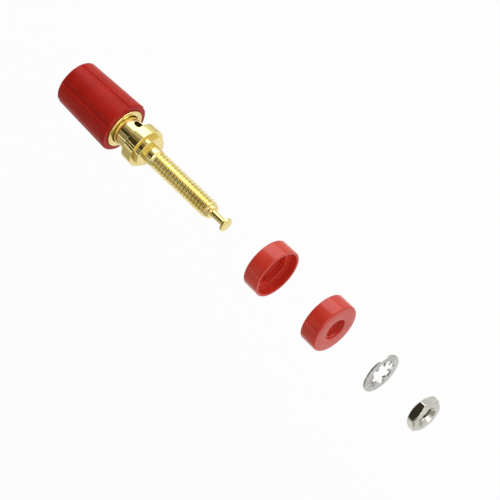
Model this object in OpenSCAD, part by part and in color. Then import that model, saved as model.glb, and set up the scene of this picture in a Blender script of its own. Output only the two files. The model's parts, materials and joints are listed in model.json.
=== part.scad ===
// Insulated panel binding post with its mounting hardware laid out in order along one axis.
// The post's axis is the X axis: the knob end points to -X and the solder turret to +X.
// The origin is the centre of the post's seat, the face that bears on the front insulator.

/* [Knob] */
// Length of the plastic knob
knob_len = 18.5; // [16:0.1:24]
// Knob diameter at the end beside the flange
knob_front_d = 13.9; // [13.2:0.1:16]
// Knob diameter at the outer end
knob_back_d = 12.3; // [11.8:0.1:13]
// Number of flutes round the knob
flutes = 6; // [3:1:12]
// Radius of each flute's section
flute_r = 0.9; // [0.5:0.1:2]
// Depth of each flute
flute_depth = 0.4; // [0.1:0.05:0.45]
// Roll of the first flute, from straight up toward +Y
flute_roll = 15.5; // [0:0.5:60]
// Rounding of the outer end's edge
knob_round = 0.9; // [0.3:0.1:1.4]
// Chamfer of the edge beside the flange
knob_chamfer = 0.3; // [0.1:0.05:0.6]
// Thickness of the knob's end wall
knob_wall = 2; // [1:0.1:3]
// Diameter of the plug hole in the end wall
plug_hole_d = 4.8; // [4.4:0.1:6]
// Depth of the lead-in round the plug hole
lead_in = 0.8; // [0.2:0.1:0.9]

/* [Knob insert] */
// Outer diameter of the metal insert
insert_d = 10.7; // [9.4:0.1:11.4]
// Length of the insert
insert_len = 13.5; // [12.5:0.1:14]
// How far the insert's face stands out of the knob
insert_proud = 0.4; // [0:0.1:1]
// Diameter of the counterbore that swallows the barrel
counterbore_d = 8.1; // [7.9:0.1:8.6]
// Depth of the counterbore
counterbore_depth = 6.7; // [6.6:0.1:8]
// Width of the retaining groove round the insert
groove_w = 1.6; // [0.6:0.1:2.5]
// Depth of the retaining groove
groove_depth = 0.5; // [0.2:0.1:0.6]

/* [Post] */
// Gap between the insert's face and the flange with the knob backed off
knob_lift = 4.75; // [1:0.05:5]
// Diameter of the barrel that carries the wire hole
barrel_d = 7.7; // [6.9:0.1:7.8]
// Length of the barrel behind the flange
barrel_len = 6.3; // [5.2:0.1:6.5]
// Diameter of the sleeve that the knob screws on
sleeve_d = 6.35; // [5.6:0.05:6.6]
// Length of the sleeve
sleeve_len = 10.3; // [9:0.1:10.8]
// Diameter of the plug socket
socket_d = 4; // [3.8:0.1:4.4]
// Depth of the plug socket
socket_depth = 12.4; // [8:0.1:13]
// Diameter of the wire hole across the barrel
wire_hole_d = 2.4; // [1.2:0.1:2.6]
// Distance from the flange to the middle of the wire hole
wire_hole_rise = 1.9; // [1.6:0.1:2.4]
// Roll of the wire hole and of the boss flats, from straight up toward +Y
flat_roll = 33.5; // [0:0.5:180]
// Flange diameter
flange_d = 10.75; // [9.6:0.05:13]
// Flange thickness
flange_t = 3.1; // [1.5:0.1:5]
// Boss diameter
boss_d = 8.8; // [7:0.1:9.4]
// Boss thickness
boss_t = 1.55; // [0.8:0.05:3]
// Distance across the boss flats
boss_flats = 7.5; // [6.2:0.1:8.6]
// Chamfer of the turned edges
turned_chamfer = 0.25; // [0.05:0.05:0.4]

/* [Stud] */
// Outer diameter of the stud's thread
stud_d = 4.826; // [3.8:0.002:5.2]
// Thread pitch
stud_pitch = 1.058; // [0.7:0.001:1.3]
// Length of the plain shank between the seat and the thread
shank_len = 2; // [0.5:0.1:4]
// Length of the thread
thread_len = 21.2; // [12:0.1:30]
// Length of the taper at the end of the thread
thread_taper = 1.3; // [0.3:0.1:3]
// Diameter of the solder turret's neck
neck_d = 1.8; // [1.2:0.1:2.6]
// Length of the solder turret's neck
neck_len = 4.3; // [2:0.1:8]
// Diameter of the solder turret's head
turret_d = 3.65; // [3:0.05:4.2]
// Thickness of the solder turret's head
turret_t = 0.75; // [0.4:0.05:2]

/* [Insulators] */
// Outer diameter of both insulators
cup_d = 13.7; // [12.8:0.1:20]
// Length of each insulator
cup_len = 4.9; // [4.6:0.1:10]
// Diameter of the open mouth
mouth_d = 12.3; // [10.8:0.1:12.4]
// Depth of the mouth down to its ledge
mouth_depth = 2.1; // [1:0.1:2.3]
// Depth of the hexagonal pocket below the ledge
pocket_depth = 1.9; // [0.8:0.1:2.0]
// Clearance of the hexagonal pocket round the nut's size
pocket_clear = 0.15; // [0.05:0.05:0.4]
// Roll of the pocket's first corner, from straight up toward +Y
pocket_roll = 6.5; // [0:0.5:60]
// Clearance round the stud in each insulator
stud_clear = 0.55; // [0.2:0.05:0.8]
// Rounding of the closed face's edge
cup_round = 0.5; // [0.1:0.1:0.8]
// Rounding of the rim
rim_round = 0.2; // [0.05:0.05:0.25]

/* [Lock washer] */
// Outer diameter of the lock washer
washer_d = 11; // [10:0.1:14]
// Thickness of the lock washer's sheet
washer_t = 0.5; // [0.3:0.05:0.8]
// Inner diameter of the washer's ring, at the roots of its teeth
root_d = 7.8; // [7:0.1:8.4]
// Clearance between the tooth tips and the stud
tip_clear = 0.25; // [0.1:0.05:0.5]
// Number of internal teeth
teeth = 8; // [6:1:10]
// Width of each tooth at its root
tooth_w = 1.35; // [0.8:0.05:1.6]
// Width of each tooth at its tip
tooth_tip_w = 0.95; // [0.5:0.05:1.2]
// Twist of each tooth out of the sheet's plane
tooth_twist = 28; // [10:1:40]
// Roll of the first tooth, from straight up toward +Y
tooth_roll = -21.5; // [-45:0.5:45]

/* [Hex nut] */
// Distance across the nut's flats
nut_flats = 8.4; // [7.9:0.05:9]
// Thickness of the nut
nut_t = 2.5; // [2:0.1:4]
// Running clearance between the nut's thread and the stud, on the radius
nut_clear = 0.06; // [0.03:0.01:0.1]
// Countersink of the nut's thread, on the radius
nut_sink = 0.35; // [0.1:0.05:0.6]
// Roll of the nut's first corner, from straight up toward +Y
nut_roll = -4.5; // [-30:0.5:30]
// Angle of the corner chamfers to the nut's faces
corner_angle = 30; // [15:1:40]

/* [Layout] */
// Travel of the front insulator from the post's seat
front_travel = 42; // [30:0.5:60]
// Travel of the rear insulator from the front one
rear_travel = 15.8; // [5:0.1:40]
// Travel of the lock washer from the rear insulator
washer_travel = 15.6; // [3:0.1:40]
// Travel of the nut from the lock washer
nut_travel = 13.1; // [3:0.1:40]
// Gap that is left between two seated faces
seat_gap = 0.02; // [0.01:0.01:0.1]
// Running clearance on the radius between the knob, its insert and the post
run_clear = 0.05; // [0.02:0.01:0.1]

/* [Hidden] */
$fn = 96;

// A little more than enough for a cut to pass its face
over = 0.5;
// Steps in the knob's rounded edge
round_steps = 5;
// Depth of a sharp 60 degree thread, on the radius
thread_depth = stud_pitch * 0.6134;
// Clearance round the sleeve in the knob's inner bore
sleeve_room = 0.35;

// Stations along the axis, from the knob to the nut
flange_front_x = -boss_t;
flange_back_x = flange_front_x - flange_t;
wire_hole_x = flange_back_x - wire_hole_rise;
barrel_end_x = flange_back_x - barrel_len;
sleeve_end_x = barrel_end_x - sleeve_len;
insert_face_x = flange_back_x - knob_lift;
knob_front_x = insert_face_x - insert_proud;
thread_start_x = shank_len;
thread_end_x = thread_start_x + thread_len;
neck_end_x = thread_end_x + neck_len;
turret_end_x = neck_end_x + turret_t;
front_closed_x = seat_gap + front_travel;
front_rim_x = front_closed_x + cup_len;
rear_rim_x = front_rim_x + seat_gap + rear_travel;
rear_closed_x = rear_rim_x + cup_len;
// Half of the room that a twisted tooth takes along the axis
tooth_reach = (tooth_w * sin(tooth_twist) + washer_t * cos(tooth_twist)) / 2;
washer_x = rear_closed_x + seat_gap + washer_travel + tooth_reach;
nut_back_x = washer_x + tooth_reach + seat_gap + nut_travel;

// Sizes that follow their mating parts
tip_d = stud_d + 2 * tip_clear;
cup_hole_d = stud_d + 2 * stud_clear;
pocket_flats = nut_flats + 2 * pocket_clear;
nut_bore_d = stud_d + 2 * nut_clear;
insert_bore_d = sleeve_d + 2 * run_clear;
pocket_depth_in_knob = insert_len - insert_proud;
knob_taper = atan((knob_front_d - knob_back_d) / 2 / knob_len);

// Lays a piece that is drawn along Z on the post's axis, starting at x
module on_axis(x = 0) {
    translate([x, 0, 0]) rotate([0, 90, 0]) children();
}

// Lays a piece on the axis pointing back toward the knob
module on_axis_back(x = 0) {
    translate([x, 0, 0]) rotate([0, -90, 0]) mirror([1, 0, 0]) children();
}

// Rolls what is drawn toward +X so that it points up and then leans toward +Y
module rolled(roll) {
    rotate([0, 0, 180 - roll]) children();
}

// Half profile of a disc of radius r and height h with its upper edge rounded
module soft_disc_profile(r, h, edge) {
    square([r - edge, h]);
    square([r, h - edge]);
    translate([r - edge, h - edge]) intersection() {
        circle(edge);
        square(edge);
    }
}

// Solid hexagon measured across its flats, with corners toward +X
module hex_prism(flats, h) {
    cylinder(d = flats / cos(30), h = h, $fn = 6);
}

// Tapered outline of the knob with a chamfer at one end and a rounded edge at the other
module knob_profile() {
    front_r = knob_front_d / 2;
    taper = knob_taper;
    arc_z = knob_len - knob_round;
    arc_r = front_r - arc_z * tan(taper) - knob_round / cos(taper);
    polygon([
        [0, 0],
        [front_r - knob_chamfer, 0],
        [front_r - knob_chamfer * tan(taper), knob_chamfer],
        for (i = [0 : round_steps])
            let (a = taper + (90 - taper) * i / round_steps)
            [arc_r + knob_round * cos(a), arc_z + knob_round * sin(a)],
        [0, knob_len]
    ]);
}

// Round-bottomed flutes that run down the knob's taper
module flute_cutters() {
    for (i = [0 : flutes - 1]) {
        rolled(flute_roll + i * 360 / flutes)
            translate([knob_front_d / 2 + flute_r - flute_depth, 0, 0]) rotate([0, -knob_taper, 0])
                translate([0, 0, -flute_r]) cylinder(r = flute_r, h = knob_len + 2 * flute_r);
    }
}

// Bores of the knob: insert pocket, room for the sleeve, and plug hole
module knob_bores() {
    wall_z = knob_len - knob_wall;
    translate([0, 0, -over]) cylinder(d = insert_d + 2 * run_clear, h = pocket_depth_in_knob + over);
    cylinder(d = sleeve_d + 2 * sleeve_room, h = wall_z);
    cylinder(d = plug_hole_d, h = knob_len + over);
    translate([0, 0, knob_len - lead_in])
        cylinder(d1 = plug_hole_d, d2 = plug_hole_d + 2 * (lead_in + over), h = lead_in + over);
}

// Fluted plastic knob
module knob() {
    color([0.74, 0.10, 0.11])
        on_axis_back(knob_front_x) difference() {
            rotate_extrude() knob_profile();
            flute_cutters();
            knob_bores();
        }
}

// Metal bush in the knob: its face is the ring that clamps the wire
module knob_insert() {
    r = insert_d / 2;
    bore_r = insert_bore_d / 2;
    counter_r = counterbore_d / 2;
    c = turned_chamfer;
    groove_z = (insert_len + counterbore_depth) / 2;
    color([0.83, 0.68, 0.28])
        on_axis_back(insert_face_x) rotate_extrude() polygon([
            [counter_r + c, 0],
            [r - c, 0],
            [r, c],
            [r, groove_z - groove_w / 2],
            [r - groove_depth, groove_z - groove_w / 2],
            [r - groove_depth, groove_z + groove_w / 2],
            [r, groove_z + groove_w / 2],
            [r, insert_len - c],
            [r - c, insert_len],
            [bore_r, insert_len],
            [bore_r, counterbore_depth],
            [counter_r, counterbore_depth],
            [counter_r, c]
        ]);
}

// Turned outline of the post, from the sleeve's end to the turret's head
module post_profile() {
    c = turned_chamfer;
    edge = turret_t / 5;
    polygon([
        [0, sleeve_end_x],
        [sleeve_d / 2 - c, sleeve_end_x],
        [sleeve_d / 2, sleeve_end_x + c],
        [sleeve_d / 2, barrel_end_x],
        [barrel_d / 2 - c, barrel_end_x],
        [barrel_d / 2, barrel_end_x + c],
        [barrel_d / 2, flange_back_x],
        [flange_d / 2 - c, flange_back_x],
        [flange_d / 2, flange_back_x + c],
        [flange_d / 2, flange_front_x - c],
        [flange_d / 2 - c, flange_front_x],
        [boss_d / 2, flange_front_x],
        [boss_d / 2, -c],
        [boss_d / 2 - c, 0],
        [stud_d / 2, 0],
        [stud_d / 2, thread_end_x - thread_taper],
        [stud_d / 2 - thread_depth, thread_end_x],
        [neck_d / 2, thread_end_x],
        [neck_d / 2, neck_end_x],
        [turret_d / 2 - edge, neck_end_x],
        [turret_d / 2, neck_end_x + edge],
        [turret_d / 2, turret_end_x - edge],
        [turret_d / 2 - edge, turret_end_x],
        [0, turret_end_x]
    ]);
}

// Turned post: plug socket, barrel with wire hole, flange, boss, stud and solder turret
module post() {
    lead = turned_chamfer;
    color([0.86, 0.72, 0.30])
        on_axis() difference() {
            rotate_extrude() post_profile();
            translate([0, 0, sleeve_end_x - over]) cylinder(d = socket_d, h = socket_depth + over);
            translate([0, 0, sleeve_end_x - over])
                cylinder(d1 = socket_d + 2 * (lead + over), d2 = socket_d, h = lead + over);
            rolled(flat_roll) translate([0, 0, wire_hole_x])
                rotate([0, 90, 0]) cylinder(d = wire_hole_d, h = barrel_d + 2 * over, center = true);
            for (side = [0, 180]) {
                rolled(flat_roll + side) translate([boss_flats / 2, -boss_d / 2, flange_front_x])
                    cube([boss_d, boss_d, boss_t + over]);
            }
        }
}

// Insulating cup: closed face at the bottom, open mouth at the top
module cup() {
    floor_t = cup_len - mouth_depth - pocket_depth;
    wall = (cup_d - mouth_d) / 2;
    difference() {
        rotate_extrude() {
            translate([0, cup_round]) soft_disc_profile(cup_d / 2, cup_len - cup_round, rim_round);
            translate([0, 2 * cup_round]) mirror([0, 1]) soft_disc_profile(cup_d / 2, 2 * cup_round, cup_round);
        }
        translate([0, 0, -over]) cylinder(d = cup_hole_d, h = cup_len + 2 * over);
        translate([0, 0, floor_t]) hex_prism(pocket_flats, cup_len);
        translate([0, 0, cup_len - mouth_depth]) cylinder(d = mouth_d, h = mouth_depth + over);
        translate([0, 0, cup_len - rim_round])
            cylinder(d1 = mouth_d, d2 = mouth_d + wall, h = wall / 2);
    }
}

// Insulator in front of the panel, its open side toward the panel
module front_insulator() {
    color([0.80, 0.20, 0.19])
        on_axis(front_closed_x) rolled(pocket_roll) cup();
}

// Insulator behind the panel, its closed face toward the nut
module rear_insulator() {
    color([0.80, 0.20, 0.19])
        on_axis_back(rear_closed_x) rolled(pocket_roll) cup();
}

// One tooth of the lock washer, twisted about its own middle line
module tooth() {
    root_r = root_d / 2 + washer_t / 2;
    rotate([tooth_twist, 0, 0]) linear_extrude(height = washer_t, center = true) polygon([
        [tip_d / 2, -tooth_tip_w / 2],
        [root_r, -tooth_w / 2],
        [root_r, tooth_w / 2],
        [tip_d / 2, tooth_tip_w / 2]
    ]);
}

// Internal tooth lock washer
module lock_washer() {
    color([0.75, 0.75, 0.73])
        on_axis(washer_x) {
            difference() {
                cylinder(d = washer_d, h = washer_t, center = true);
                cylinder(d = root_d, h = washer_t + over, center = true);
            }
            for (i = [0 : teeth - 1]) {
                rolled(tooth_roll + i * 360 / teeth) tooth();
            }
        }
}

// Turned envelope that chamfers the nut's corners at both faces
module nut_envelope() {
    corner_r = nut_flats / 2 / cos(30) + over;
    face_r = nut_flats / 2;
    drop = (corner_r - face_r) * tan(corner_angle);
    rotate_extrude() polygon([
        [0, 0],
        [face_r, 0],
        [corner_r, drop],
        [corner_r, nut_t - drop],
        [face_r, nut_t],
        [0, nut_t]
    ]);
}

// Hexagonal nut, chamfered on both faces and countersunk at both ends of its thread
module hex_nut() {
    sink_d = nut_bore_d + 2 * nut_sink;
    color([0.84, 0.84, 0.81])
        on_axis(nut_back_x) difference() {
            intersection() {
                rolled(nut_roll) hex_prism(nut_flats, nut_t);
                nut_envelope();
            }
            translate([0, 0, -over]) cylinder(d = nut_bore_d, h = nut_t + 2 * over);
            translate([0, 0, -over])
                cylinder(d1 = sink_d + 2 * over, d2 = nut_bore_d, h = nut_sink + over);
            translate([0, 0, nut_t - nut_sink])
                cylinder(d1 = nut_bore_d, d2 = sink_d + 2 * over, h = nut_sink + over);
        }
}

knob();
knob_insert();
post();
front_insulator();
rear_insulator();
lock_washer();
hex_nut();
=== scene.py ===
"""Looks of a panel binding post, with its two cups, lock washer and nut in line along one axis.

The post's axis is the X axis, the seat of the post is at the origin, and lengths are in metres.
Each surface is a grid of points: its rows follow an outline and its columns go round the axis.
"""
import json
import math

import bmesh
import bpy
import numpy as np
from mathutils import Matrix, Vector


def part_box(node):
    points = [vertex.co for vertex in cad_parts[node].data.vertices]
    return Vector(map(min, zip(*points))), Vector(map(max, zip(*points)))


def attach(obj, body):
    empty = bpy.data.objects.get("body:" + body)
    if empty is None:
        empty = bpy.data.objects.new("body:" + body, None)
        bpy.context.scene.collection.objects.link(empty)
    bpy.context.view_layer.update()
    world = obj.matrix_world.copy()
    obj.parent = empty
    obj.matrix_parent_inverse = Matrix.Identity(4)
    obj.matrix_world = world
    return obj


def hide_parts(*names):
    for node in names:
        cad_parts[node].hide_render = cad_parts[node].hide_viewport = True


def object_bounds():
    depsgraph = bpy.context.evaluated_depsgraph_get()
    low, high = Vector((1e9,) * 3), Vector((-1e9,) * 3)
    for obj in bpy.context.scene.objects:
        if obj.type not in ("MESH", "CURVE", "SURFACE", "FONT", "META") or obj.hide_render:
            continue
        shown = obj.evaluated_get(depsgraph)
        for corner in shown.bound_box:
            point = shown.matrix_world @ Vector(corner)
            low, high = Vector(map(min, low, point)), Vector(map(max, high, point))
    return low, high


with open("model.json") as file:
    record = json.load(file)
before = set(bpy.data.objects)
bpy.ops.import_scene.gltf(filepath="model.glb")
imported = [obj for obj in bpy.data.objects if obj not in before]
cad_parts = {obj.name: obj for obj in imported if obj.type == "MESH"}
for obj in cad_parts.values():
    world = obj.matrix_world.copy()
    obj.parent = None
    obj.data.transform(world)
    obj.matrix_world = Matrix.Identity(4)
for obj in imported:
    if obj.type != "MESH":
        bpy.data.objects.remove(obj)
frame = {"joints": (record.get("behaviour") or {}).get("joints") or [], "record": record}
cad_low, cad_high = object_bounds()

MM = 0.001
TURN = 2 * math.pi
WELD = 2e-7
SHARP_DEG = 32

# Columns round the axis: a multiple of 12, so that hexagons and the wire hole fall on columns
COLUMNS = 192

mounts = {mount["name"]: mount for mount in frame["record"]["mounts"]}
joints = {joint["name"]: joint for joint in frame["joints"]}


# Sizes of the post

stud_r = mounts["panel_stud"]["dims"]["r_mm"] * MM
socket_r = mounts["plug_socket"]["dims"]["r_mm"] * MM
wire_hole_r = mounts["wire_hole"]["dims"]["r_mm"] * MM
wire_hole_x = mounts["wire_hole"]["pos_m"][0]
flange_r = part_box("post")[1].y
sleeve_end_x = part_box("post")[0].x
turret_end_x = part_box("post")[1].x
barrel_r = 3.85 * MM
barrel_end_x = sleeve_end_x + 10.3 * MM
sleeve_r = 3.175 * MM
socket_end_x = sleeve_end_x + 12.4 * MM
drill_tip = 0.9 * MM
flange_back_x = wire_hole_x + 1.9 * MM
flange_front_x = flange_back_x + 3.1 * MM
boss_r = 4.4 * MM
boss_flats = 7.5 * MM
turned_edge = 0.10 * MM
hole_edge = 0.14 * MM
thread_start_x = 2 * MM
thread_end_x = mounts["panel_stud"]["dims"]["length_mm"] * MM + 1.3 * MM
thread_taper = 1.3 * MM
thread_pitch = 1.058 * MM
thread_depth = 0.6134 * thread_pitch
thread_fade = 1.2 * thread_pitch
shank_overlap = 0.4 * MM
neck_round = 0.12 * MM
neck_r = 0.9 * MM
turret_r = 1.825 * MM
turret_t = 0.75 * MM
turret_round = 0.2 * MM
flat_roll = 33.5

# Sizes of the knob and its insert

knob_back_x, knob_front_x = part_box("knob")[0].x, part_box("knob")[1].x
insert_end_x, insert_face_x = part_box("knob_insert")[0].x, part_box("knob_insert")[1].x
insert_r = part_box("knob_insert")[1].y
knob_front_r = 6.95 * MM
knob_back_r = 6.15 * MM
flutes = 6
flute_roll = 15.5
flute_r = 0.9 * MM
flute_depth = 0.4 * MM
knob_round = 0.9 * MM
knob_chamfer = 0.3 * MM
knob_wall = 2 * MM
plug_hole_r = 2.4 * MM
lead_in = 0.8 * MM
counterbore_r = 4.05 * MM
counterbore_depth = 6.7 * MM
sleeve_play = 0.05 * MM
knob_play = 0.35 * MM
pocket_play = 0.05 * MM
lip_round = 0.2 * MM
hole_round = 0.1 * MM
lead_round = 0.12 * MM
flute_blend = 0.06 * MM
insert_edge = 0.2 * MM
groove_half = 0.8 * MM
groove_depth = 0.5 * MM

# Sizes of the cups

cup_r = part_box("front_insulator")[1].y
mouth_r = 6.15 * MM
mouth_depth = 2.1 * MM
pocket_depth = 1.9 * MM
pocket_flats = 8.7 * MM
cup_hole_r = 2.963 * MM
cup_round = 0.5 * MM
cup_hole_round = 0.12 * MM
rim_outer_round = 0.2 * MM
rim_inner_round = 0.25 * MM
ledge_round = 0.15 * MM
pocket_roll = 6.5

# Sizes of the lock washer

washer_r = 5.5 * MM
washer_t = 0.5 * MM
root_r = 3.9 * MM
tip_r = 2.663 * MM
teeth = 8
tooth_root_w = 1.35 * MM
tooth_tip_w = 0.95 * MM
tooth_twist_deg = 28
tooth_roll = -21.5
twist_within = 1 / 2.2
stamped_edge = 0.07 * MM

# Sizes of the nut

nut_back_x, nut_front_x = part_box("hex_nut")[0].x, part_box("hex_nut")[1].x
nut_flats = 8.4 * MM
nut_clear = 0.06 * MM
nut_sink = 0.35 * MM
nut_roll = -4.5
corner_angle_deg = 30
nut_face_rim = 0.12 * MM
nut_edge = 0.05 * MM
nut_thread_share = 0.85


# Shapes

def angle_of(roll_deg):
    """Angle round the axis, from +Y toward +Z, of a roll that is given from +Z toward +Y."""
    return math.radians(90 - roll_deg)


def around(x, r, angle):
    """Points at station x, at distance r from the axis and at that angle round it."""
    x, r, angle = np.broadcast_arrays(x, r, angle)
    return np.stack([x, r * np.cos(angle), r * np.sin(angle)], axis=-1)


def columns_from(roll_deg, columns=COLUMNS):
    """Even angles all the way round, the first at that roll."""
    return angle_of(roll_deg) + np.arange(columns) * TURN / columns


def outline(corners, steps=5):
    """Rows (x, r) of an outline. A corner is (x, r, rounding), and its rounding is an arc that
    touches both of its sides: its centre lies on the bisector at rounding / sin(half angle)."""
    rows = []
    for k, (x, r, rounding) in enumerate(corners):
        here = np.array([x, r])
        if not rounding:
            rows.append(here[None])
            continue
        back = np.array(corners[k - 1][:2]) - here
        ahead = np.array(corners[(k + 1) % len(corners)][:2]) - here
        back, ahead = back / np.linalg.norm(back), ahead / np.linalg.norm(ahead)
        half = math.acos(np.clip(back @ ahead, -1, 1)) / 2
        bisector = (back + ahead) / np.linalg.norm(back + ahead)
        side = (ahead - back) / np.linalg.norm(ahead - back)
        sweep = np.linspace(half - math.pi / 2, math.pi / 2 - half, steps)[:, None]
        centre = here + bisector * rounding / math.sin(half)
        rows.append(centre + rounding * (side * np.sin(sweep) - bisector * np.cos(sweep)))
    return np.concatenate(rows)


def ring_faces(rows, columns, lift=0, closed=False):
    """Corner numbers of the quads between neighbouring rows, all the way round. lift is how many
    rows further on the last column meets the first one, as it does along a screw thread."""
    def number(row, column):
        row = row + lift * (column // columns)
        row = row % rows if closed else np.minimum(row, rows - 1)
        return row * columns + column % columns

    row = np.arange(rows if closed else rows - 1)[:, None]
    column = np.arange(columns)[None, :]
    corners = [(row, column), (row, column + 1), (row + 1, column + 1), (row + 1, column)]
    return np.stack([number(r, c) for r, c in corners], axis=-1).reshape(-1, 4)


def rings(x, r, angles, closed=False):
    """A grid of rings as (points, faces): row i is at station x[i] and radius r[i]."""
    points = around(np.atleast_2d(x), np.atleast_2d(r), angles)
    return points, ring_faces(points.shape[0], points.shape[1], closed=closed)


def turned(corners, angles, closed=False, steps=5):
    """The surface that an outline sweeps round the axis."""
    rows = outline(corners, steps)
    return rings(rows[:, :1], rows[:, 1:], angles, closed)


def hexagon(flats, angles, roll_deg, sharpness):
    """Radius of a hexagon with soft corners at each angle: one over a power mean of the six
    cosines to its flats, which is a soft minimum of the distances to its sides."""
    flat_angles = angle_of(roll_deg) + math.pi / 6 + np.arange(6)[:, None] * TURN / 6
    toward = np.maximum(np.cos(angles[None, :] - flat_angles), 0)
    return flats / 2 / (toward ** sharpness).sum(axis=0) ** (1 / sharpness)


def soft_min(a, b, blend):
    """The smaller of a and b, rounded where they cross: their mean less half the length of
    (difference, blend), so that blend is the depth of the rounding doubled."""
    return (a + b - np.hypot(a - b, blend)) / 2


def thread_profile(turn):
    """Depth of the thread, from 0 on its crest to 1 in its root, at that part of a turn:
    a flat crest a tenth of the pitch wide, flanks that follow part of a sine, and a flat root."""
    half_crest, half_root = 1 / 20, 1 / 10
    away = np.abs((turn + 0.5) % 1 - 0.5)
    slope = (away - half_crest) / (0.5 - half_crest - half_root)
    return np.sin(np.clip(slope, 0, 1) * math.pi / 2) ** 0.85


def thread_rows(start_x, end_x, angles, phase, per_turn):
    """Stations of a grid that follows a right-hand thread: row m stands m / per_turn turns along,
    and each column is ahead of the one before by its share of the pitch. The stations are kept
    between the two ends, so that the rows outside lie on the end rings. Gives x and the turn."""
    first_turn = math.floor((start_x - phase) / thread_pitch) - 1
    turns = math.ceil((end_x - start_x) / thread_pitch) + 4
    turn = first_turn + np.arange(turns * per_turn)[:, None] / per_turn
    share = (angles - angles[0])[None, :] / TURN
    x = np.clip(phase + (turn + share) * thread_pitch, start_x, end_x)
    return x, (x - phase) / thread_pitch - share


def mesh_object(name, parts):
    """One mesh from (points, faces) parts, welded where they meet, with its faces outwards."""
    starts = np.cumsum([0] + [points.size // 3 for points, _ in parts])
    points = np.concatenate([points.reshape(-1, 3) for points, _ in parts])
    faces = np.concatenate([faces + start for (_, faces), start in zip(parts, starts)])
    mesh = bpy.data.meshes.new(name)
    mesh.from_pydata(points.tolist(), [], faces.tolist())
    shell = bmesh.new()
    shell.from_mesh(mesh)
    bmesh.ops.remove_doubles(shell, verts=shell.verts, dist=WELD)
    bmesh.ops.dissolve_degenerate(shell, edges=shell.edges, dist=WELD)
    bmesh.ops.recalc_face_normals(shell, faces=shell.faces)
    shell.to_mesh(mesh)
    shell.free()
    mesh.shade_smooth()
    mesh.set_sharp_from_angle(angle=math.radians(SHARP_DEG))
    made = bpy.data.objects.new(name, mesh)
    bpy.context.scene.collection.objects.link(made)
    return made


# Pieces

def post_barrel():
    """Sleeve, barrel, flange and boss of the post. The barrel's grid opens round the wire hole:
    a square block of its points is pulled onto the hole's circle, and a tube joins both rims."""
    angles = columns_from(flat_roll)
    edge = turned_edge
    half_columns, hole_columns = 14, 8
    band = barrel_r * math.sin(half_columns * TURN / COLUMNS)
    before = turned([
        (socket_end_x + drill_tip, 0, 0),
        (socket_end_x, socket_r, 0),
        (sleeve_end_x + edge, socket_r, 0),
        (sleeve_end_x, socket_r + edge, 0),
        (sleeve_end_x, sleeve_r, edge),
        (barrel_end_x, sleeve_r, 0),
        (barrel_end_x, barrel_r, edge),
        (wire_hole_x - band, barrel_r, 0),
    ], angles)
    rows = outline([
        (wire_hole_x + band, barrel_r, 0),
        (flange_back_x, barrel_r, 0),
        (flange_back_x, flange_r, edge),
        (flange_front_x, flange_r, edge),
        (flange_front_x, boss_r, 0),
    ])[:-1]
    after = rings(rows[:, :1], rows[:, 1:], angles)
    boss = outline([
        (flange_front_x, flange_r - edge, 0),
        (flange_front_x, boss_r, 0),
        (0, boss_r, edge),
        (0, stud_r, 0),
        (0, 0, 0),
    ])
    flat = boss_flats / 2 / np.maximum(np.abs(np.cos(angles - angles[0])), 0.1)
    on_boss = np.arange(len(boss))[:, None] > 0
    boss_radius = np.where(on_boss, np.minimum(boss[:, 1:], flat), boss[:, 1:])
    boss_grid = rings(boss[:, :1], boss_radius, angles)

    # Block coordinates run from -1 to 1 over the block on each side of the barrel
    column = (np.arange(COLUMNS) + COLUMNS // 4) % (COLUMNS // 2) - COLUMNS // 4
    row = np.arange(-half_columns, half_columns + 1)
    u, v = np.meshgrid(column / half_columns, row / half_columns)
    block = np.maximum(np.abs(u), np.abs(v))
    safe = np.maximum(block, 1e-9)
    side_u, side_v = np.clip(u / safe, -1, 1), np.clip(v / safe, -1, 1)
    rim_r = wire_hole_r + hole_edge
    reach = np.maximum(np.hypot(side_u, side_v), 1e-9)
    inner = hole_columns / half_columns
    share = np.clip((block - inner) / (1 - inner), 0, 1)
    square_u = barrel_r * np.sin(side_u * half_columns * TURN / COLUMNS)
    across = side_u / reach * rim_r * (1 - share) + square_u * share
    along = side_v / reach * rim_r * (1 - share) + side_v * band * share
    outside = block > 1 + 1e-9
    turn_to = np.where(outside, column[None, :] * TURN / COLUMNS, np.arcsin(across / barrel_r))
    x = wire_hole_x + np.where(outside, v * band, along)
    middle = np.where((np.arange(COLUMNS) + COLUMNS // 4) % COLUMNS < COLUMNS // 2, 0, math.pi)
    band_points = around(x, barrel_r, angles[0] + middle[None, :] + turn_to)
    band_faces = ring_faces(len(row), COLUMNS)
    middle_of = block.reshape(-1)[band_faces].mean(axis=1)
    band_grid = band_points, band_faces[middle_of > inner - 0.02 / half_columns]

    # The tube through the barrel: rim, rounded edge and wall, then the same on the far side
    n = hole_columns
    edge_u = np.concatenate([np.full(2 * n, n), np.arange(n, -n, -1), np.full(2 * n, -n), np.arange(-n, n)])
    edge_v = np.roll(edge_u, 2 * n)
    length = np.hypot(edge_u, edge_v)
    ring_u, ring_v = edge_u / length, edge_v / length
    arc = np.linspace(0, math.pi / 2, 5)[:, None]
    radius = wire_hole_r + hole_edge * (1 - np.sin(arc))
    height = np.sqrt(barrel_r ** 2 - (rim_r * ring_u) ** 2) - hole_edge * (1 - np.cos(arc))
    radius = np.concatenate([radius, radius[::-1]])
    height = np.concatenate([height, -height[::-1]])
    out = np.array([0, math.cos(angles[0]), math.sin(angles[0])])
    sideways = np.array([0, -math.sin(angles[0]), math.cos(angles[0])])
    tube = (height[..., None] * out + (radius * ring_u)[..., None] * sideways
            + (radius * ring_v)[..., None] * np.array([1, 0, 0]) + np.array([wire_hole_x, 0, 0]))
    tube_grid = tube, ring_faces(tube.shape[0], tube.shape[1])
    return mesh_object("post_barrel", [before, band_grid, after, boss_grid, tube_grid])


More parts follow.
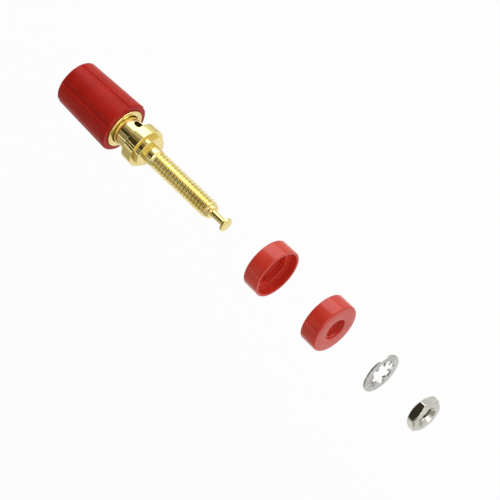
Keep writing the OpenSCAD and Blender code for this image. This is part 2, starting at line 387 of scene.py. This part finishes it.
def post_stud():
    """Threaded stud with its solder turret. The thread's radius is the stud's radius less the
    thread's depth times its profile, which fades in at the shank, and is kept under the taper."""
    angles = columns_from(0, 128)
    rows_per_turn = 14
    shank = turned([
        (-shank_overlap, 0, 0),
        (-shank_overlap, stud_r, 0),
        (thread_start_x, stud_r, 0),
    ], angles)
    x, turn = thread_rows(thread_start_x, thread_end_x, angles, thread_start_x, rows_per_turn)
    fade = np.clip((x - thread_start_x) / thread_fade, 0, 1)
    fade = fade * fade * (3 - 2 * fade)
    radius = stud_r - thread_depth * fade * thread_profile(turn)
    past_taper = np.clip((x - (thread_end_x - thread_taper)) / thread_taper, 0, 1)
    radius = np.minimum(radius, stud_r - thread_depth * past_taper)
    thread = around(x, radius, angles), ring_faces(x.shape[0], x.shape[1], lift=rows_per_turn)
    end = turned([
        (thread_end_x, stud_r - thread_depth, 0),
        (thread_end_x, neck_r, neck_round),
        (turret_end_x - turret_t, neck_r, neck_round),
        (turret_end_x - turret_t, turret_r, turret_round),
        (turret_end_x, turret_r, turret_round),
        (turret_end_x, 0, 0),
    ], angles)
    return mesh_object("post_stud", [shank, thread, end])


def knob_angles():
    """Columns round the knob, closer together at its flutes: each flute's share of the turn is
    bent by a sine, so that the columns move toward the flute's middle."""
    even = np.arange(COLUMNS) * TURN / COLUMNS
    return angle_of(flute_roll) + even - np.sin(even * flutes) * 0.8 / flutes


def knob_shell():
    """Fluted knob. The radius is the smaller of the tapered outline and the near side of each
    flute's circle: c cos(d) - sqrt(r^2 - (c sin(d))^2), with the circle's centre at c."""
    angles = knob_angles()
    wall_x = knob_back_x + knob_wall
    pocket_r = insert_r + pocket_play
    room_r = sleeve_r + knob_play
    pocket_x = insert_end_x
    rows = outline([
        (wall_x, room_r, 0),
        (wall_x, plug_hole_r, hole_round),
        (knob_back_x + lead_in, plug_hole_r, 0),
        (knob_back_x, plug_hole_r + lead_in, lead_round),
        (knob_back_x, knob_back_r, knob_round),
        (knob_front_x, knob_front_r, 0),
    ], 9)[1:]
    side_rows = len(rows) - 1
    taper = (knob_front_r - knob_back_r) / (knob_front_x - knob_back_x)
    bevel_x = knob_front_x - knob_chamfer
    outer_x = np.concatenate([rows[:side_rows, 0], [bevel_x]])
    outer_r = np.concatenate([rows[:side_rows, 1], [knob_front_r - taper * knob_chamfer]])
    bevel = outline([
        (bevel_x - 1 * MM, knob_front_r - taper * (knob_chamfer + 1 * MM), 0),
        (bevel_x, knob_front_r - taper * knob_chamfer, lip_round),
        (knob_front_x, knob_front_r - knob_chamfer, lip_round),
        (knob_front_x, pocket_r + lip_round, 0),
        (knob_front_x - lip_round, pocket_r, 0),
        (pocket_x, pocket_r, 0),
        (pocket_x, room_r, 0),
        (wall_x, room_r, 0),
    ])
    x = np.concatenate([outer_x[:-1], bevel[:, 0]])[:, None]
    r = np.concatenate([outer_r[:-1], bevel[:, 1]])[:, None]
    side_r = knob_front_r - taper * (knob_front_x - x)
    centre = side_r + flute_r - flute_depth
    away = (angles - angle_of(flute_roll) + math.pi / flutes) % (TURN / flutes) - math.pi / flutes
    inside = np.maximum(flute_r ** 2 - (centre * np.sin(away)) ** 2, 0)
    reach = centre * np.cos(away) - np.sqrt(inside)
    flute = np.where(inside > 0, reach, 2 * side_r)
    cut = np.where(r > pocket_r + 0.5 * MM, soft_min(r, flute, flute_blend), r)
    return mesh_object("knob_shell", [rings(x, cut, angles, closed=True)])


def clamp_ring():
    """Metal insert of the knob: its face is the ring that clamps the wire."""
    edge = insert_edge
    bore_r = sleeve_r + sleeve_play
    bore_x = insert_face_x - counterbore_depth
    groove_x = (insert_end_x + bore_x) / 2
    return mesh_object("clamp_ring", [turned([
        (insert_face_x, counterbore_r, edge),
        (insert_face_x, insert_r, edge),
        (groove_x + groove_half, insert_r, 0),
        (groove_x + groove_half, insert_r - groove_depth, 0),
        (groove_x - groove_half, insert_r - groove_depth, 0),
        (groove_x - groove_half, insert_r, 0),
        (insert_end_x, insert_r, edge),
        (insert_end_x, bore_r, edge),
        (bore_x, bore_r, 0),
        (bore_x, counterbore_r, 0),
    ], columns_from(0), closed=True)])


def cup(name, closed_x, open_x):
    """Insulating cup, from its closed face to its rim: outside wall, mouth, ledge, hexagonal
    pocket, floor and stud hole, as one closed loop of rows."""
    angles = columns_from(pocket_roll)
    way = 1 if open_x > closed_x else -1
    length = abs(open_x - closed_x)
    ledge = length - mouth_depth
    floor = ledge - pocket_depth
    rows = outline([
        (floor, cup_hole_r, 0),
        (0, cup_hole_r, cup_hole_round),
        (0, cup_r, cup_round),
        (length, cup_r, rim_outer_round),
        (length, mouth_r, rim_inner_round),
        (ledge, mouth_r, ledge_round),
        (ledge, cup_hole_r, 0),
    ], 7)[1:-1]
    hexagon_r = hexagon(pocket_flats, angles, pocket_roll, 60)
    round_over = np.linspace(0, math.pi / 2, 5)[:, None]
    edge = ledge_round
    edge_x = ledge - edge * (1 - np.cos(round_over)) + 0 * hexagon_r
    edge_r = hexagon_r + edge * (1 - np.sin(round_over))
    foot_x = floor + edge * (1 - np.sin(round_over)) + 0 * hexagon_r
    foot_r = hexagon_r - edge * (1 - np.cos(round_over))
    hole = outline([
        (floor, mouth_r, 0),
        (floor, cup_hole_r, cup_hole_round),
        (0, cup_hole_r, 0),
    ])[1:-1]
    wide = np.ones_like(hexagon_r)
    x = np.concatenate([rows[:, :1] * wide, edge_x, foot_x, hole[:, :1] * wide])
    r = np.concatenate([rows[:, 1:] * wide, edge_r, foot_r, hole[:, 1:] * wide])
    return mesh_object(name, [rings(closed_x + way * x, r, angles, closed=True)])


def tooth_washer():
    """Internal tooth lock washer as a sheet. Between its teeth the ring ends at the root radius,
    and each tooth runs on inwards and turns about its middle line, little by little."""
    low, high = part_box("lock_washer")
    middle_x = (low.x + high.x) / 2
    per_tooth, on_tooth = COLUMNS // teeth, 10
    tooth_half = math.asin(tooth_root_w / 2 / root_r)
    step = np.arange(per_tooth + 1)
    knots = [0, on_tooth, per_tooth]
    turn = np.interp(step, knots, [-tooth_half, tooth_half, TURN / teeth - tooth_half])
    firsts = np.arange(teeth) * TURN / teeth + angle_of(tooth_roll)
    angles = (firsts[:, None] + turn[None, :-1]).reshape(-1)
    radii = np.linspace(washer_r, root_r, 6)[:, None]
    ring = rings(0 * radii + middle_x, radii, angles)
    inward = np.linspace(0, 1, 9)[:, None]
    smooth = np.clip(inward / twist_within, 0, 1)
    twist = math.radians(tooth_twist_deg) * smooth * smooth * (3 - 2 * smooth)
    root_across = root_r * np.sin(turn[: on_tooth + 1])[None, :]
    across = root_across * (1 + (tooth_tip_w / tooth_root_w - 1) * inward)
    root_out = root_r * np.cos(turn[: on_tooth + 1])[None, :]
    out = root_out * (1 - inward) + np.sqrt(tip_r ** 2 - across ** 2) * inward
    grid = np.arange(9 * (on_tooth + 1)).reshape(9, on_tooth + 1)
    faces = np.stack([grid[:-1, :-1], grid[:-1, 1:], grid[1:, 1:], grid[1:, :-1]], -1).reshape(-1, 4)
    parts = [ring]
    for first in firsts:
        toward = np.array([0, math.cos(first), math.sin(first)])
        sideways = np.array([0, -math.sin(first), math.cos(first)])
        points = (out[..., None] * toward + (across * np.cos(twist))[..., None] * sideways)
        points[..., 0] += middle_x + across * np.sin(twist)
        parts.append((points, faces))
    made = mesh_object("tooth_washer", parts)
    solid = made.modifiers.new("sheet", "SOLIDIFY")
    solid.thickness = washer_t
    solid.offset = 0
    solid.use_even_offset = True
    bevel = made.modifiers.new("stamped_edge", "BEVEL")
    bevel.width = stamped_edge
    bevel.segments = 2
    bevel.limit_method = "ANGLE"
    bevel.angle_limit = math.radians(50)
    return made


def threaded_nut():
    """Hexagonal nut. Its corners are chamfered where a flat cone crosses its sides, and its bore
    has the thread that fits the stud when the nut has travelled all the way to its seat."""
    angles = columns_from(nut_roll)
    travel = sum(joints[name]["range_m"][1] for name in (
        "front_insulator_slide", "rear_insulator_slide", "lock_washer_slide", "nut_slide"))
    side = hexagon(nut_flats, angles, nut_roll, 90)
    wide = np.ones_like(side)
    face_r = nut_flats / 2 - nut_face_rim
    drop = (side - face_r) * math.tan(math.radians(corner_angle_deg))
    bore_r = stud_r + nut_clear
    edge = nut_edge
    rows_per_turn = 16
    x = np.stack([nut_back_x * wide, nut_back_x * wide, nut_back_x + drop, nut_back_x + drop + edge,
                  nut_front_x - drop - edge, nut_front_x - drop, nut_front_x * wide, nut_front_x * wide])
    r = np.stack([(bore_r + nut_sink) * wide, face_r * wide, side - edge, side,
                  side, side - edge, face_r * wide, (bore_r + nut_sink) * wide])
    outer = rings(x, r, angles)
    x, turn = thread_rows(nut_back_x, nut_front_x, angles, thread_start_x + travel, rows_per_turn)
    # The columns of the stud start at the first roll, so the nut's own start is taken off
    turn = turn - (angles[0] - angle_of(0)) / TURN
    crest = bore_r - nut_thread_share * thread_depth * thread_profile(turn)
    from_face = np.minimum(x - nut_back_x, nut_front_x - x)
    radius = np.maximum(crest, bore_r + nut_sink - from_face)
    bore = around(x, radius, angles), ring_faces(x.shape[0], x.shape[1], lift=rows_per_turn)
    return mesh_object("threaded_nut", [outer, bore])


# Effects that several materials share

def new_group(name, inputs, outputs):
    """An empty shader node group with inputs and outputs that are single numbers. Gives the
    group, its input node and its output node."""
    group = bpy.data.node_groups.new(name, "ShaderNodeTree")
    for label, value in inputs.items():
        socket = group.interface.new_socket(label, in_out="INPUT", socket_type="NodeSocketFloat")
        socket.default_value = value
    for label in outputs:
        group.interface.new_socket(label, in_out="OUTPUT", socket_type="NodeSocketFloat")
    return group, group.nodes.new("NodeGroupInput"), group.nodes.new("NodeGroupOutput")


def math_node(tree, operation, a, b=0.0, c=0.0):
    """One Math node, whose inputs are sockets or numbers. Gives its output socket."""
    node = tree.nodes.new("ShaderNodeMath")
    node.operation = operation
    for socket, value in zip(node.inputs, (a, b, c)):
        if isinstance(value, (int, float)):
            socket.default_value = value
        else:
            tree.links.new(value, socket)
    return node.outputs[0]


def noise(tree, vector, scale, detail=2.0, roughness=0.5, dimensions="3D"):
    """A Noise texture's value over a vector, or over a single number when dimensions is 1D."""
    node = tree.nodes.new("ShaderNodeTexNoise")
    node.noise_dimensions = dimensions
    node.inputs["Detail"].default_value = detail
    node.inputs["Roughness"].default_value = roughness
    tree.links.new(vector, node.inputs["W" if dimensions == "1D" else "Vector"])
    if isinstance(scale, (int, float)):
        node.inputs["Scale"].default_value = scale
    else:
        tree.links.new(scale, node.inputs["Scale"])
    return node.outputs[0]


def ramp(tree, value, low, high, out_low=0.0, out_high=1.0):
    """A smooth step of a value from low to high."""
    node = tree.nodes.new("ShaderNodeMapRange")
    node.interpolation_type = "SMOOTHSTEP"
    for label, number in (("From Min", low), ("From Max", high), ("To Min", out_low), ("To Max", out_high)):
        node.inputs[label].default_value = number
    tree.links.new(value, node.inputs["Value"])
    return node.outputs["Result"]


def turning_marks_group():
    """Fine rings that a lathe leaves: noise over the distance along the axis plus the distance
    from it, so that they run round the sides and round the end faces alike."""
    group, entry, end = new_group("turning_marks", {"Rings per metre": 9000}, ["Height", "Band"])
    place = group.nodes.new("ShaderNodeTexCoord").outputs["Object"]
    split = group.nodes.new("ShaderNodeSeparateXYZ")
    group.links.new(place, split.inputs[0])
    squared = math_node(group, "MULTIPLY", split.outputs[1], split.outputs[1])
    summed = math_node(group, "MULTIPLY_ADD", split.outputs[2], split.outputs[2], squared)
    radius = math_node(group, "SQRT", summed)
    run = math_node(group, "ADD", split.outputs[0], radius)
    group.links.new(noise(group, run, entry.outputs[0], 3.0, 0.6, "1D"), end.inputs[0])
    band = math_node(group, "MULTIPLY", entry.outputs[0], 0.12)
    group.links.new(noise(group, run, band, 1.0, 0.5, "1D"), end.inputs[1])
    return group


def mottle_group():
    """Slow clouds of tone, and a fine grain for bumps, over the place on the piece."""
    group, entry, end = new_group("mottle", {"Cloud scale": 180, "Grain scale": 7000}, ["Cloud", "Grain"])
    place = group.nodes.new("ShaderNodeTexCoord").outputs["Object"]
    group.links.new(noise(group, place, entry.outputs[0], 3.0), end.inputs[0])
    group.links.new(noise(group, place, entry.outputs[1], 2.0), end.inputs[1])
    return group


def specks_group():
    """Sparse small specks of dust: the peaks of a fine noise, thinned out by a slower one."""
    group, entry, end = new_group("specks", {"Scale": 2600, "Amount": 0.5}, ["Mask"])
    place = group.nodes.new("ShaderNodeTexCoord").outputs["Object"]
    peaks = ramp(group, noise(group, place, entry.outputs[0], 0.0), 0.74, 0.80)
    patches = ramp(group, noise(group, place, 240.0, 1.0), 0.45, 0.7)
    mask = math_node(group, "MULTIPLY", math_node(group, "MULTIPLY", peaks, patches), entry.outputs[1])
    group.links.new(mask, end.inputs[0])
    return group


def edge_wear_group():
    """Edges that handling has rubbed: where the surface bends outwards, broken up by a noise."""
    group, entry, end = new_group("edge_wear", {"Start": 0.52, "Scale": 900}, ["Mask"])
    place = group.nodes.new("ShaderNodeTexCoord").outputs["Object"]
    bend = group.nodes.new("ShaderNodeNewGeometry").outputs["Pointiness"]
    above = math_node(group, "SUBTRACT", bend, entry.outputs[0])
    edge = ramp(group, above, 0.0, 0.05)
    rubbed = ramp(group, noise(group, place, entry.outputs[1], 2.0), 0.35, 0.75)
    group.links.new(math_node(group, "MULTIPLY", edge, rubbed), end.inputs[0])
    return group


turning_marks = turning_marks_group()
mottle = mottle_group()
specks = specks_group()
edge_wear = edge_wear_group()


# Materials

def new_material(name, metallic, roughness):
    """A material with its Principled shader. Gives the material, its tree and the shader."""
    material = bpy.data.materials.new(name)
    material.use_nodes = True
    shader = material.node_tree.nodes["Principled BSDF"]
    shader.inputs["Metallic"].default_value = metallic
    shader.inputs["Roughness"].default_value = roughness
    return material, material.node_tree, shader


def use_group(tree, group, **values):
    """Places an effect in a material, with its own values."""
    node = tree.nodes.new("ShaderNodeGroup")
    node.node_tree = group
    for label, value in values.items():
        node.inputs[label.replace("_", " ")].default_value = value
    return node


def blend_colours(tree, factor, first, second):
    """A colour between two, which are colours or sockets."""
    node = tree.nodes.new("ShaderNodeMix")
    node.data_type = "RGBA"
    tree.links.new(factor, node.inputs[0])
    for socket, colour in ((node.inputs[6], first), (node.inputs[7], second)):
        if isinstance(colour, tuple):
            socket.default_value = (*colour, 1.0)
        else:
            tree.links.new(colour, socket)
    return node.outputs[2]


def bump(tree, shader, height, distance, strength):
    """Feeds a height to the shader's normal."""
    node = tree.nodes.new("ShaderNodeBump")
    node.inputs["Strength"].default_value = strength
    node.inputs["Distance"].default_value = distance
    tree.links.new(height, node.inputs["Height"])
    tree.links.new(node.outputs[0], shader.inputs["Normal"])


def moulded_plastic(name, deep, light, roughness, gloss, mirror, grain):
    """Moulded plastic: two close tones in slow clouds, edges rubbed paler, a little dust, and a
    fine grain. gloss is the weight of its clear skin, and mirror the strength of the plastic's
    own reflection."""
    material, tree, shader = new_material(name, 0.0, roughness)
    clouds = use_group(tree, mottle, Cloud_scale=150, Grain_scale=5200)
    wear = use_group(tree, edge_wear, Start=0.53, Scale=700)
    dust = use_group(tree, specks, Scale=4200, Amount=0.12)
    tone = blend_colours(tree, ramp(tree, clouds.outputs["Cloud"], 0.3, 0.7), deep, light)
    rubbed = tuple(0.8 * c + 0.10 for c in light)
    worn = math_node(tree, "MULTIPLY", wear.outputs[0], 0.35)
    tone = blend_colours(tree, worn, tone, rubbed)
    tone = blend_colours(tree, dust.outputs[0], tone, (0.62, 0.50, 0.48))
    tree.links.new(tone, shader.inputs["Base Color"])
    cloudy = ramp(tree, clouds.outputs["Cloud"], 0.25, 0.75, roughness - 0.03, roughness + 0.05)
    tree.links.new(math_node(tree, "MULTIPLY_ADD", dust.outputs[0], 0.3, cloudy), shader.inputs["Roughness"])
    shader.inputs["Specular IOR Level"].default_value = mirror
    shader.inputs["Coat Weight"].default_value = gloss
    shader.inputs["Coat Roughness"].default_value = roughness * 0.6
    bump(tree, shader, clouds.outputs["Grain"], 0.02 * MM, grain)
    return material


def turned_gold():
    """Gold plate on turned brass: bright, with faint lathe rings and slow changes of tone."""
    material, tree, shader = new_material("turned_gold", 1.0, 0.1)
    marks = use_group(tree, turning_marks, Rings_per_metre=7000)
    clouds = use_group(tree, mottle, Cloud_scale=260, Grain_scale=6000)
    dust = use_group(tree, specks, Scale=3000, Amount=0.3)
    cloud = ramp(tree, clouds.outputs["Cloud"], 0.3, 0.7)
    tone = blend_colours(tree, cloud, (0.78, 0.63, 0.24), (0.86, 0.73, 0.33))
    tone = blend_colours(tree, dust.outputs[0], tone, (0.5, 0.42, 0.30))
    tree.links.new(tone, shader.inputs["Base Color"])
    banded = ramp(tree, marks.outputs["Band"], 0.3, 0.7, 0.07, 0.14)
    tree.links.new(math_node(tree, "MULTIPLY_ADD", dust.outputs[0], 0.3, banded), shader.inputs["Roughness"])
    bump(tree, shader, marks.outputs["Height"], 0.01 * MM, 0.03)
    return material


def bright_nickel(name, tone, pale, low, high, rings):
    """Nickel plate: slow clouds of tone, paler rubbed edges, and a grain that roughens it. rings
    is how much of the lathe's rings its bumps show."""
    material, tree, shader = new_material(name, 1.0, low)
    marks = use_group(tree, turning_marks, Rings_per_metre=5200)
    clouds = use_group(tree, mottle, Cloud_scale=420, Grain_scale=3800)
    wear = use_group(tree, edge_wear, Start=0.53, Scale=1200)
    dust = use_group(tree, specks, Scale=3200, Amount=0.5)
    colour = blend_colours(tree, ramp(tree, clouds.outputs["Cloud"], 0.35, 0.65), tone, pale)
    worn = math_node(tree, "MULTIPLY", wear.outputs[0], 0.5)
    colour = blend_colours(tree, worn, colour, (0.92, 0.91, 0.88))
    colour = blend_colours(tree, dust.outputs[0], colour, (0.30, 0.28, 0.25))
    tree.links.new(colour, shader.inputs["Base Color"])
    tree.links.new(ramp(tree, clouds.outputs["Grain"], 0.3, 0.7, low, high), shader.inputs["Roughness"])
    both = math_node(tree, "MULTIPLY_ADD", marks.outputs["Height"], rings, clouds.outputs["Grain"])
    bump(tree, shader, both, 0.012 * MM, 0.02)
    return material


knob_red = moulded_plastic("knob_red", (0.44, 0.011, 0.005), (0.52, 0.017, 0.009), 0.30, 0.03, 0.10, 0.08)
cup_red = moulded_plastic("cup_red", (0.65, 0.034, 0.016), (0.73, 0.048, 0.024), 0.20, 0.20, 0.30, 0.02)
gold = turned_gold()
nut_nickel = bright_nickel("nut_nickel", (0.49, 0.48, 0.43), (0.59, 0.58, 0.52), 0.08, 0.14, 0.3)
washer_nickel = bright_nickel("washer_nickel", (0.44, 0.435, 0.415), (0.55, 0.545, 0.52), 0.14, 0.26, 0.0)


# The dressed part

def dress(piece, material, body, node):
    """Gives a piece its material, hides the node that it stands for and lets it ride on its body."""
    piece.data.materials.append(material)
    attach(piece, body)
    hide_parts(node)


front_low, front_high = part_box("front_insulator")
rear_low, rear_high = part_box("rear_insulator")
dress(post_barrel(), gold, "post", "post")
dress(post_stud(), gold, "post", "post")
dress(clamp_ring(), gold, "knob_insert", "knob_insert")
dress(knob_shell(), knob_red, "knob", "knob")
for name, body, closed_x, open_x in (
        ("front_cup", "front_insulator", front_low.x, front_high.x),
        ("rear_cup", "rear_insulator", rear_high.x, rear_low.x)):
    dress(cup(name, closed_x, open_x), cup_red, body, body)
dress(tooth_washer(), washer_nickel, "lock_washer", "lock_washer")
dress(threaded_nut(), nut_nickel, "hex_nut", "hex_nut")


# Floor, light and camera

floor_drop = 45 * MM
floor_reach = 4.0
floor_white = 0.9
floor_glow = 0.93
world_fill = 0.36

card_distance = 0.7
card_back = 0.315
card_half_length = 0.5
sheet_lift = 1 * MM
sheet_reach = 1.0
deep_brown = (0.055, 0.044, 0.030)

camera_lens = 360
camera_sensor = 36
camera_distance = 1.2
look_x = 37.15 * MM
look_left = 0.2211 * MM
look_down = 0.2314 * MM
view_azimuth, view_elevation = math.radians(48.86), math.radians(56.6)
toward_camera = np.array([
    math.sin(view_azimuth) * math.cos(view_elevation),
    -math.cos(view_azimuth) * math.cos(view_elevation),
    math.sin(view_elevation)])
screen_right = np.array([math.cos(view_azimuth), math.sin(view_azimuth), 0])
screen_up = np.cross(toward_camera, screen_right)
middle = np.array([(cad_low.x + cad_high.x) / 2, 0, 0])


def aim(thing, place, target):
    """Puts a lamp or camera at a place, looking at a target."""
    thing.location = place
    thing.rotation_euler = Vector(np.array(target) - np.array(place)).to_track_quat("-Z", "Y").to_euler()


def camera_rays(tree):
    """A mask of the rays that show the background: camera, glossy and transmission rays."""
    path = tree.nodes.new("ShaderNodeLightPath")
    shown = math_node(tree, "MAXIMUM", path.outputs["Is Camera Ray"], path.outputs["Is Glossy Ray"])
    return math_node(tree, "MAXIMUM", shown, path.outputs["Is Transmission Ray"])


def pale_world():
    """White where it is seen or mirrored, and a plain grey where it lights matt surfaces."""
    world = bpy.data.worlds.new("studio")
    bpy.context.scene.world = world
    world.use_nodes = True
    tree = world.node_tree
    background = tree.nodes["Background"]
    background.inputs["Color"].default_value = (1.0, 1.0, 1.0, 1.0)
    strength = math_node(tree, "MULTIPLY_ADD", camera_rays(tree), 1.0 - world_fill, world_fill)
    tree.links.new(strength, background.inputs["Strength"])


def pale_floor():
    """A plain pale floor that keeps a faint shadow and melts into the white background."""
    corners = np.array([[-1, -1, 0], [1, -1, 0], [1, 1, 0], [-1, 1, 0]]) * floor_reach
    mesh = bpy.data.meshes.new("floor")
    mesh.from_pydata((corners + np.array([0, 0, -floor_drop])).tolist(), [], [[0, 1, 2, 3]])
    floor = bpy.data.objects.new("floor", mesh)
    bpy.context.scene.collection.objects.link(floor)
    material = bpy.data.materials.new("pale_floor")
    material.use_nodes = True
    tree = material.node_tree
    tree.nodes.remove(tree.nodes["Principled BSDF"])
    lit = tree.nodes.new("ShaderNodeBsdfDiffuse")
    lit.inputs["Color"].default_value = (floor_white, floor_white, floor_white, 1.0)
    glow = tree.nodes.new("ShaderNodeEmission")
    glow.inputs["Color"].default_value = (1.0, 1.0, 1.0, 1.0)
    blend = tree.nodes.new("ShaderNodeMixShader")
    tree.links.new(math_node(tree, "MULTIPLY", camera_rays(tree), floor_glow), blend.inputs[0])
    tree.links.new(lit.outputs[0], blend.inputs[1])
    tree.links.new(glow.outputs[0], blend.inputs[2])
    tree.links.new(blend.outputs[0], tree.nodes["Material Output"].inputs["Surface"])
    mesh.materials.append(material)


def lamp(name, direction, distance, width, height, power):
    """A soft box that looks at the middle of the part from that direction."""
    light = bpy.data.lights.new(name, "AREA")
    light.shape = "RECTANGLE"
    light.size, light.size_y = width, height
    light.energy = power
    made = bpy.data.objects.new(name, light)
    bpy.context.scene.collection.objects.link(made)
    direction = np.array(direction) / np.linalg.norm(direction)
    aim(made, middle + direction * distance, middle)


def round_axis(degrees_up):
    """Direction across the axis: 0 is nearest the camera, and 90 is toward its upper right."""
    near = toward_camera - np.array([toward_camera[0], 0, 0])
    near = near / np.linalg.norm(near)
    side = np.cross(near, [1, 0, 0])
    side = side * np.sign(side @ screen_right)
    a = math.radians(degrees_up)
    return math.cos(a) * near + math.sin(a) * side


def mirrored_sheet(name, points, faces, colour):
    """A sheet of one plain tone that is seen only in reflections."""
    mesh = bpy.data.meshes.new(name)
    mesh.from_pydata(points.reshape(-1, 3).tolist(), [], faces.tolist())
    sheet = bpy.data.objects.new(name, mesh)
    bpy.context.scene.collection.objects.link(sheet)
    material = bpy.data.materials.new(name)
    material.use_nodes = True
    tree = material.node_tree
    tree.nodes.remove(tree.nodes["Principled BSDF"])
    glow = tree.nodes.new("ShaderNodeEmission")
    glow.inputs["Color"].default_value = (*colour, 1.0)
    tree.links.new(glow.outputs[0], tree.nodes["Material Output"].inputs["Surface"])
    mesh.materials.append(material)
    sheet.visible_camera = False
    sheet.visible_diffuse = False
    sheet.visible_shadow = False
    sheet.visible_transmission = False


def card(name, low_deg, high_deg, colour):
    """A card round the axis between two directions across it, set back along the axis, where
    the turned surfaces mirror it toward the camera."""
    steps = 8
    edges = np.linspace(low_deg, high_deg, steps + 1)
    strip = np.array([round_axis(edge) for edge in edges]) * card_distance
    along = middle[0] - card_back + np.array([-card_half_length, card_half_length])
    points = np.stack([strip + np.array([end, 0, 0]) for end in along])
    rows = np.arange(steps)
    faces = np.stack([rows, rows + 1, rows + steps + 2, rows + steps + 1], axis=-1)
    mirrored_sheet(name, points, faces, colour)


def floor_sheet(name, near_y, far_y, colour):
    """A sheet just above the floor, between two distances beside the axis."""
    height = -floor_drop + sheet_lift
    points = np.array([[-sheet_reach, near_y, height], [sheet_reach, near_y, height],
                       [sheet_reach, far_y, height], [-sheet_reach, far_y, height]])
    mirrored_sheet(name, points, np.array([[0, 1, 2, 3]]), colour)


pale_world()
pale_floor()
lamp("key_box", [-0.25, 0.60, 0.75], 0.8, 1.1, 0.75, 4.6)
lamp("front_box", [0.85, -0.15, 0.5], 0.8, 0.5, 0.5, 1.5)
card("shade_card", 12, 34, (0.55, 0.52, 0.46))
card("brown_card", -6, 12, (0.24, 0.20, 0.13))
card("near_card", -31, -6, deep_brown)
card("middle_card", -45, -35, deep_brown)
card("outer_card", -60, -49, deep_brown)
floor_sheet("low_sheet", -0.8, -0.02, (0.50, 0.48, 0.42))
floor_sheet("far_sheet", 0.07, 0.8, (0.74, 0.74, 0.68))

camera = bpy.data.cameras.new("camera")
camera.lens = camera_lens
camera.sensor_width = camera_sensor
camera.clip_end = 10
camera_object = bpy.data.objects.new("camera", camera)
bpy.context.scene.collection.objects.link(camera_object)
bpy.context.scene.camera = camera_object
target = np.array([look_x, 0, 0]) - look_left * screen_right - look_down * screen_up
aim(camera_object, target + toward_camera * camera_distance, target)
bpy.context.scene.view_settings.view_transform = "Standard"
